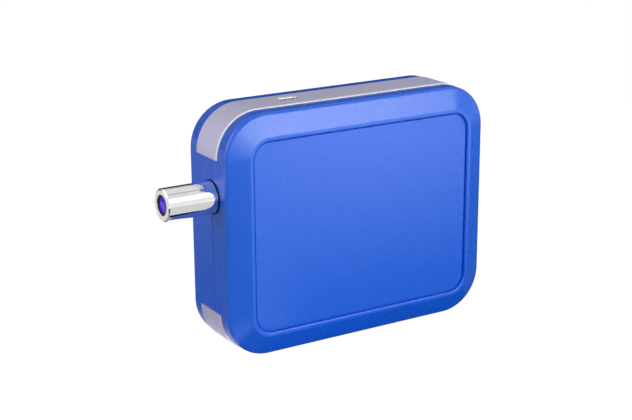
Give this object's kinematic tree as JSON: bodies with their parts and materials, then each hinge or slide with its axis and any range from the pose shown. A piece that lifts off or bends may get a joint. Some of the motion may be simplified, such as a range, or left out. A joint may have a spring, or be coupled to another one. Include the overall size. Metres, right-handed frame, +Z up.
{
  "type": "raman spectrometer",
  "caption": "Compact free-standing Raman spectrometer: rounded blue housing with silver trims, side probe tube with coated lens, and a port on top.",
  "frame": {"origin": "middle of the flat underside of the bottom trim, on which the instrument stands", "axes": "+Z up, +Y from the front panel to the back, +X to the right as seen from the front; the probe tube points along -X"},
  "size_m": [0.1356, 0.036, 0.0938],
  "materials": {
    "blue_shell": "fine satin texture",
    "silver_trim": "fine brushed, anodised, cut bright edge",
    "probe_steel": "polished",
    "black_anodised": "matt black anodised",
    "coated_glass": "violet anti-reflection coating",
    "seal_rubber": "matt black",
    "adhesive_film": "clear adhesive film",
    "screw_steel": "zinc plated",
    "insert_brass": "turned",
    "bench_aluminium": "milled",
    "port_steel": "stamped, plated",
    "port_plastic": "moulded black",
    "contact_gold": "gold plated",
    "clear_glass": "polished",
    "mirror_coating": "protected silver",
    "grating_surface": "ruled, coated",
    "board_green": "solder mask",
    "chip_black": "moulded epoxy",
    "flex_amber": "polyimide film",
    "sensor_ceramic": "ceramic",
    "diode_gold": "gold plated"
  },
  "bodies": {
    "root": {"front_shell": "blue_shell", "rear_shell": "blue_shell", "top_trim": "silver_trim", "bottom_trim": "silver_trim", "top_trim_tape": "adhesive_film", "bottom_trim_tape": "adhesive_film", "case_screws": "screw_steel", "case_inserts": "insert_brass", "probe_tube": "probe_steel", "nose_ring": "black_anodised", "nose_lens": "coated_glass", "probe_seal": "seal_rubber", "probe_saddle": "bench_aluminium", "probe_cap": "bench_aluminium", "clamp_screws": "screw_steel", "optical_bench": "bench_aluminium", "bench_screws": "screw_steel", "filter_block": "black_anodised", "block_lid": "black_anodised", "dichroic_mirror": "coated_glass", "cleanup_filter": "coated_glass", "longpass_filter": "coated_glass", "slit_lens": "clear_glass", "laser_housing": "insert_brass", "laser_lens": "clear_glass", "laser_diode": "diode_gold", "laser_heatsink": "bench_aluminium", "slit_holder": "black_anodised", "slit_plate": "screw_steel", "collimating_mirror": "mirror_coating", "collimating_stand": "black_anodised", "diffraction_grating": "grating_surface", "grating_stand": "black_anodised", "focusing_mirror": "mirror_coating", "focusing_stand": "black_anodised", "detector_package": "sensor_ceramic", "detector_window": "clear_glass", "detector_board": "board_green", "detector_stand": "black_anodised", "stand_screws": "screw_steel", "bench_cover": "black_anodised", "cover_screws": "screw_steel", "main_board": "board_green", "board_chips": "chip_black", "shield_can": "port_steel", "board_screws": "screw_steel", "flex_connectors": "port_plastic", "detector_flex": "flex_amber", "laser_flex": "flex_amber", "usb_shell": "port_steel", "usb_tongue": "port_plastic", "usb_contacts": "contact_gold"}
  },
  "joints": []
}
